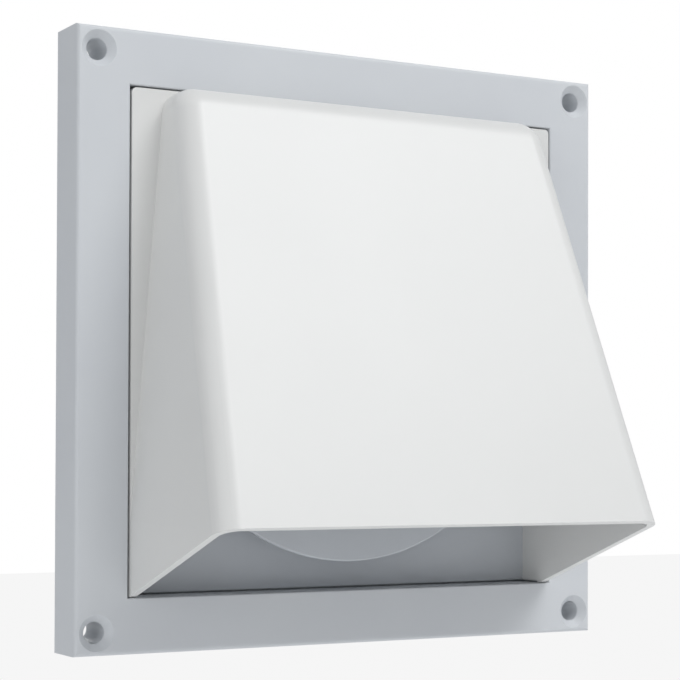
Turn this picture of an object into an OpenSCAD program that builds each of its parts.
// Hooded wall vent with a gravity flap, for a 100 mm duct.
// Origin: centre of the wall frame, on the wall's surface.
// X runs along the wall, Y runs into the wall, Z is up. All sizes are in millimetres.

/* [Wall frame] */
// Overall width of the wall frame
frame_w = 150; // [148:1:190]
// Overall height of the wall frame
frame_h = 150; // [148:1:190]
// Depth of the wall frame, from the wall to its face
frame_depth = 13; // [12:0.5:18]
// Width of the frame's four rails
rail_w = 13.5; // [12.5:0.5:16]
// Thickness of the frame's moulded walls
frame_wall = 2.2; // [1.6:0.1:2.6]
// Radius of the frame's outer front edges
edge_r = 1.2; // [0.6:0.1:1.8]
// Radius of the edges round the frame's opening
opening_edge_r = 0.4; // [0.2:0.1:0.8]
// How far the seating ledge at the back of the opening reaches inwards
ledge_w = 3; // [2:0.5:4]
// Thickness of the seating ledge
ledge_t = 1.5; // [1:0.1:2]
// Thickness of the stiffening ribs inside the rails
rib_t = 1.2; // [0.8:0.1:1.6]
// Number of ribs between the two screw bosses of a rail
rib_count = 3; // [1:1:5]

/* [Screw holes] */
// Distance of each hole's axis from the frame's two edges
hole_inset = 5.5; // [5.2:0.1:6.5]
// Diameter of the through holes
hole_d = 5.3; // [4:0.1:5.5]
// Diameter of the countersinks at the face
sink_d = 8.6; // [7:0.1:9]
// Depth of the countersinks
sink_depth = 1.8; // [1:0.1:2.4]
// Wall of the screw bosses round the holes
boss_wall = 1.9; // [1.2:0.1:2.2]

/* [Hood] */
// Gap between the frame's opening and the parts that fit into it
seam = 0.5; // [0.3:0.1:0.8]
// Reach of the hood's lip in front of the frame's face
hood_reach = 49.2; // [40:0.2:60]
// Reach of the hood's front at the crown, in front of the frame's face
crown_reach = 9.4; // [8:0.2:14]
// Height of the lip above the lower end of the hood's cheeks
lip_rise = 17.8; // [12:0.2:24]
// How much narrower the hood is at its crown than at its lip, on each side
crown_inset = 8.2; // [3:0.2:10]
// Radius of the crown and its corners
crown_r = 8; // [6:0.5:9]
// Radius of the edges between the front and the cheeks, at the lip
lip_corner_r = 5; // [4:0.5:7]
// Radius of the lip's outer lower edge
lip_edge_r = 1.6; // [0.8:0.1:1.8]
// Wall thickness of the hood, its flange and its skirt
hood_wall = 2; // [1.8:0.1:2.4]
// Radius of the flange's corners
flange_r = 1.2; // [0.8:0.1:2]

/* [Snap hooks] */
// Width of the snap hooks on the hood's skirt
snap_w = 10; // [6:1:14]
// How far the hooks reach into the frame's windows
snap_bite = 1; // [0.6:0.1:1.4]
// Distance between the two hooks of one side
snap_pitch = 72; // [50:1:84]
// Clearance between a hook and its window
snap_clear = 0.3; // [0.2:0.1:0.5]

/* [Duct plate] */
// Outer diameter of the spigot, which fits into the duct
spigot_d = 99.5; // [78:0.5:100]
// Wall thickness of the spigot
spigot_wall = 2; // [1.6:0.1:2.6]
// Length of the spigot behind the wall's surface
spigot_len = 36; // [20:1:80]
// Length of the tapered lead at the spigot's end
lead_len = 3; // [1:0.5:5]
// How much the lead narrows the spigot's radius
lead_in = 0.8; // [0.3:0.1:1]
// Thickness of the duct plate
plate_t = 2.5; // [2:0.1:3.2]
// Height of the flap's seat in front of the duct plate
seat_h = 7; // [6:0.1:7.4]

/* [Flap] */
// How far the flap's rim reaches past the seat
flap_overlap = 4.45; // [3:0.1:5]
// Thickness of the flap
flap_t = 1.6; // [1.2:0.1:2]
// Gap between the closed flap and its seat
flap_gap = 0.2; // [0.1:0.05:0.3]
// Radius of the flap's front edge
flap_edge_r = 0.5; // [0.2:0.1:0.6]
// Diameter of the hinge journals
journal_d = 3; // [2.4:0.1:3.4]
// Radial clearance of the journals in their ears
journal_clear = 0.08; // [0.04:0.01:0.1]
// Diameter of the hinge bar between the ears
bar_d = 4; // [3.6:0.1:4.4]
// Distance between the inner faces of the hinge ears
ear_span = 46; // [40:1:50]
// Thickness of the hinge ears
ear_t = 2.5; // [2:0.1:3]
// How far the journals stand out of the ears
journal_end = 0.6; // [0.3:0.1:1]
// Side play of the hinge bar between the ears
bar_play = 0.3; // [0.2:0.1:0.5]
// Height of the hinge axis below the flap's top edge
hinge_drop = 0.4; // [0:0.1:1]

/* [Hidden] */
shell_fn = 48;
round_fn = 96;
eps = 0.01;
past = 1;

open_w = frame_w - 2 * rail_w;
open_h = frame_h - 2 * rail_w;
hole_x = frame_w / 2 - hole_inset;
hole_z = frame_h / 2 - hole_inset;
face_y = -frame_depth;

// The insert is the hood and the duct plate, which fill the opening but for the seam.
insert_w = open_w - 2 * seam;
insert_h = open_h - 2 * seam;
insert_x = insert_w / 2;
insert_z = insert_h / 2;

plate_back = -ledge_t;
plate_front = plate_back - plate_t;
seat_y = plate_front - seat_h;
spigot_r = spigot_d / 2;
bore_r = spigot_r - spigot_wall;

// The cowl's side view: crown, lip and the plane of its mouth.
lip_y = face_y - hood_reach;
lip_z = -insert_z + lip_rise;
crown_y = face_y - crown_reach;
front_tilt = atan((hood_reach - crown_reach) / (insert_z - lip_z));
mouth_tilt = atan(lip_rise / hood_reach);
crown_x = insert_x - crown_inset;
crown_mid = insert_z - crown_r;
mouth_end = lip_z - 8;
cheek_end = -insert_z - 8;

flap_r = spigot_r + flap_overlap;
flap_back = seat_y - flap_gap;
flap_front = flap_back - flap_t;
hinge_y = (flap_back + flap_front) / 2;
hinge_z = flap_r - hinge_drop;
ear_r = journal_d / 2 + journal_clear + 1.2;

snap_y = (plate_front + face_y + hood_wall) / 2;
snap_len = 3;

// A bar along X that rounds off an edge whose material lies towards +Y and +Z.
module edge_cutter(length, r) {
    rotate([90, 0, 90])
        linear_extrude(length, center = true)
            difference() {
                translate([-past, -past])
                    square(r + past);
                translate([r, r])
                    circle(r, $fn = round_fn);
            }
}

// Cutters for the four edges of a rectangle in the frame's face. Around an opening
// the material lies outside the rectangle.
module rim_cutters(w, h, r, opening = false) {
    for (side = [0 : 3]) {
        level = side % 2 == 0;
        rotate([0, 90 * side, 0])
            translate([0, face_y, -(level ? h : w) / 2])
                mirror([0, 0, opening ? 1 : 0])
                    edge_cutter((level ? w : h) + (opening ? 0 : 2 * past), r);
    }
}

// A block given by its two corners.
module block(low, high) {
    translate(low)
        cube(high - low);
}

// A cylinder along Y between two planes.
module round_y(r1, r2, y1, y2) {
    translate([0, y1, 0])
        rotate([-90, 0, 0])
            cylinder(h = y2 - y1, r1 = r1, r2 = r2, $fn = round_fn);
}

module at_corners() {
    for (x = [-hole_x, hole_x], z = [-hole_z, hole_z])
        translate([x, 0, z])
            children();
}

// The hollow back of the frame, open towards the wall.
module frame_hollow() {
    difference() {
        block([-frame_w / 2 + frame_wall, face_y + frame_wall, -frame_h / 2 + frame_wall],
              [frame_w / 2 - frame_wall, past, frame_h / 2 - frame_wall]);
        block([-open_w / 2 - frame_wall, face_y, -open_h / 2 - frame_wall],
              [open_w / 2 + frame_wall, 2 * past, open_h / 2 + frame_wall]);
        at_corners()
            round_y(hole_d / 2 + boss_wall, hole_d / 2 + boss_wall, face_y, 2 * past);
        // Ribs between the bosses
        for (i = [1 : rib_count], side = [-1, 1]) {
            x = -hole_x + i * 2 * hole_x / (rib_count + 1);
            z = -hole_z + i * 2 * hole_z / (rib_count + 1);
            translate([x, 0, side * (frame_h - rail_w) / 2])
                block([-rib_t / 2, face_y, -rail_w / 2], [rib_t / 2, 2 * past, rail_w / 2]);
            translate([side * (frame_w - rail_w) / 2, 0, z])
                block([-rail_w / 2, face_y, -rib_t / 2], [rail_w / 2, 2 * past, rib_t / 2]);
        }
    }
}

module wall_frame() {
    color([0.80, 0.81, 0.82])
        difference() {
            block([-frame_w / 2, face_y, -frame_h / 2], [frame_w / 2, 0, frame_h / 2]);
            // The opening, and the narrower one inside the seating ledge
            block([-open_w / 2, face_y - past, -open_h / 2], [open_w / 2, -ledge_t, open_h / 2]);
            block([-open_w / 2 + ledge_w, -ledge_t - past, -open_h / 2 + ledge_w],
                  [open_w / 2 - ledge_w, past, open_h / 2 - ledge_w]);
            frame_hollow();
            at_corners() {
                round_y(hole_d / 2, hole_d / 2, face_y - past, past);
                round_y(sink_d / 2, hole_d / 2, face_y, face_y + sink_depth);
                round_y(sink_d / 2, sink_d / 2, face_y - past, face_y);
            }
            rim_cutters(frame_w, frame_h, edge_r);
            rim_cutters(open_w, open_h, opening_edge_r, opening = true);
            // Windows for the snap hooks
            for (z = [-snap_pitch / 2, snap_pitch / 2])
                block([-open_w / 2 - frame_wall - past, snap_y - snap_len / 2 - snap_clear,
                       z - snap_w / 2 - snap_clear],
                      [open_w / 2 + frame_wall + past, snap_y + snap_len / 2 + snap_clear,
                       z + snap_w / 2 + snap_clear]);
        }
}

// Half-width of the cowl, and reach of its front, at a height.
function cowl_x(z) = crown_x + crown_inset * (insert_z - z) / (insert_z - lip_z);
function cowl_y(z) = crown_y - (insert_z - z) * tan(front_tilt);

// The cowl's convex form, carried past its mouth. Its radii shrink by `inward`,
// which leaves an even wall.
module cowl_form(inward) {
    intersection() {
        hull() {
            for (side = [-1, 1]) {
                // Crown corner, and the same corner carried back to the flange
                translate([side * (crown_x - crown_r), cowl_y(crown_mid) + crown_r / cos(front_tilt),
                           crown_mid]) {
                    sphere(crown_r - inward, $fn = shell_fn);
                    rotate([-90, 0, 0])
                        cylinder(h = frame_depth, r = crown_r - inward, $fn = shell_fn);
                }
                // Front corner, below the lip
                translate([side * (cowl_x(mouth_end) - lip_corner_r),
                           cowl_y(mouth_end) + lip_corner_r / cos(front_tilt), mouth_end])
                    sphere(lip_corner_r - inward, $fn = shell_fn);
                // Lower end of the cheek, behind the flange
                translate([side * (cowl_x(cheek_end) - inward - eps), face_y + hood_wall, cheek_end])
                    cube(eps);
            }
        }
        block([-insert_x + inward, 2 * lip_y, -frame_h], [insert_x - inward, past, frame_h]);
    }
}

// Everything above the plane of the mouth.
module above_mouth() {
    translate([0, face_y, -insert_z])
        rotate([-mouth_tilt, 0, 0])
            block([-frame_w, -2 * hood_reach, 0], [frame_w, frame_depth * 3, 2 * frame_h]);
}

module flange_outline() {
    square([insert_w, insert_h - 2 * flange_r], center = true);
    square([insert_w - 2 * flange_r, insert_h], center = true);
    for (x = [-1, 1], z = [-1, 1])
        translate([x * (insert_x - flange_r), z * (insert_z - flange_r)])
            circle(flange_r, $fn = round_fn);
}

module snap_hook() {
    // A ramp that rises from the skirt towards the front
    translate([insert_x - eps, snap_y, 0])
        linear_extrude(snap_w, center = true)
            polygon([[0, -snap_len / 2], [seam + snap_bite, -snap_len / 2],
                     [seam + snap_bite, -snap_len / 2 + 0.8], [0, snap_len / 2]]);
}

module hood() {
    color([0.92, 0.92, 0.92]) {
        difference() {
            union() {
                // Cowl
                intersection() {
                    cowl_form(0);
                    block([-insert_x, 2 * lip_y, -insert_z], [insert_x, face_y + hood_wall, insert_z]);
                    above_mouth();
                }
                // Flange and skirt
                translate([0, plate_front, 0])
                    rotate([90, 0, 0])
                        linear_extrude(plate_front - face_y)
                            flange_outline();
            }
            // Inside of the cowl, open below and through the flange
            cowl_form(hood_wall);
            // Outer edge of the lip
            translate([0, lip_y, lip_z])
                rotate([-(front_tilt + mouth_tilt) / 2, 0, 0])
                    edge_cutter(2 * insert_w, lip_edge_r);
            // Inside of the skirt, open at the bottom
            block([-insert_x + hood_wall, face_y + hood_wall, -frame_h],
                  [insert_x - hood_wall, past, insert_z - hood_wall]);
        }
        for (side = [0, 1], z = [-snap_pitch / 2, snap_pitch / 2])
            mirror([side, 0, 0])
                translate([0, 0, z])
                    snap_hook();
    }
}

module duct_plate() {
    color([0.62, 0.64, 0.66])
        difference() {
            union() {
                block([-insert_x, plate_front, -insert_z], [insert_x, plate_back, insert_z]);
                round_y(spigot_r, spigot_r, seat_y, spigot_len - lead_len);
                round_y(spigot_r, spigot_r - lead_in, spigot_len - lead_len, spigot_len);
                // Hinge ears
                for (side = [-1, 1])
                    translate([side * (ear_span + ear_t) / 2, 0, 0])
                        hinge_ear();
            }
            round_y(bore_r, bore_r, seat_y - past, spigot_len + past);
            // Bores of the hinge ears
            translate([0, hinge_y, hinge_z])
                rotate([0, 90, 0])
                    cylinder(h = frame_w, r = journal_d / 2 + journal_clear,
                             center = true, $fn = round_fn);
        }
}

module hinge_ear() {
    block([-ear_t / 2, hinge_y, hinge_z - ear_r], [ear_t / 2, plate_front + eps, hinge_z + ear_r]);
    translate([0, hinge_y, hinge_z])
        rotate([0, 90, 0])
            cylinder(h = ear_t, r = ear_r, center = true, $fn = round_fn);
}

module flap() {
    color([0.66, 0.68, 0.70]) {
        difference() {
            // Disc with a rounded front edge
            translate([0, flap_back, 0])
                rotate([90, 0, 0])
                    rotate_extrude($fn = round_fn)
                        flap_section();
            // Flat top, behind which the hinge bar lies
            block([-flap_r, flap_front - past, hinge_z], [flap_r, flap_back + past, flap_r + past]);
        }
        translate([0, hinge_y, hinge_z])
            rotate([0, 90, 0]) {
                cylinder(h = ear_span - 2 * bar_play, d = bar_d, center = true, $fn = round_fn);
                cylinder(h = ear_span + 2 * ear_t + 2 * journal_end, d = journal_d,
                         center = true, $fn = round_fn);
            }
    }
}

module flap_section() {
    square([flap_r, flap_t - flap_edge_r]);
    square([flap_r - flap_edge_r, flap_t]);
    translate([flap_r - flap_edge_r, flap_t - flap_edge_r])
        circle(flap_edge_r, $fn = round_fn);
}

wall_frame();
hood();
duct_plate();
flap();
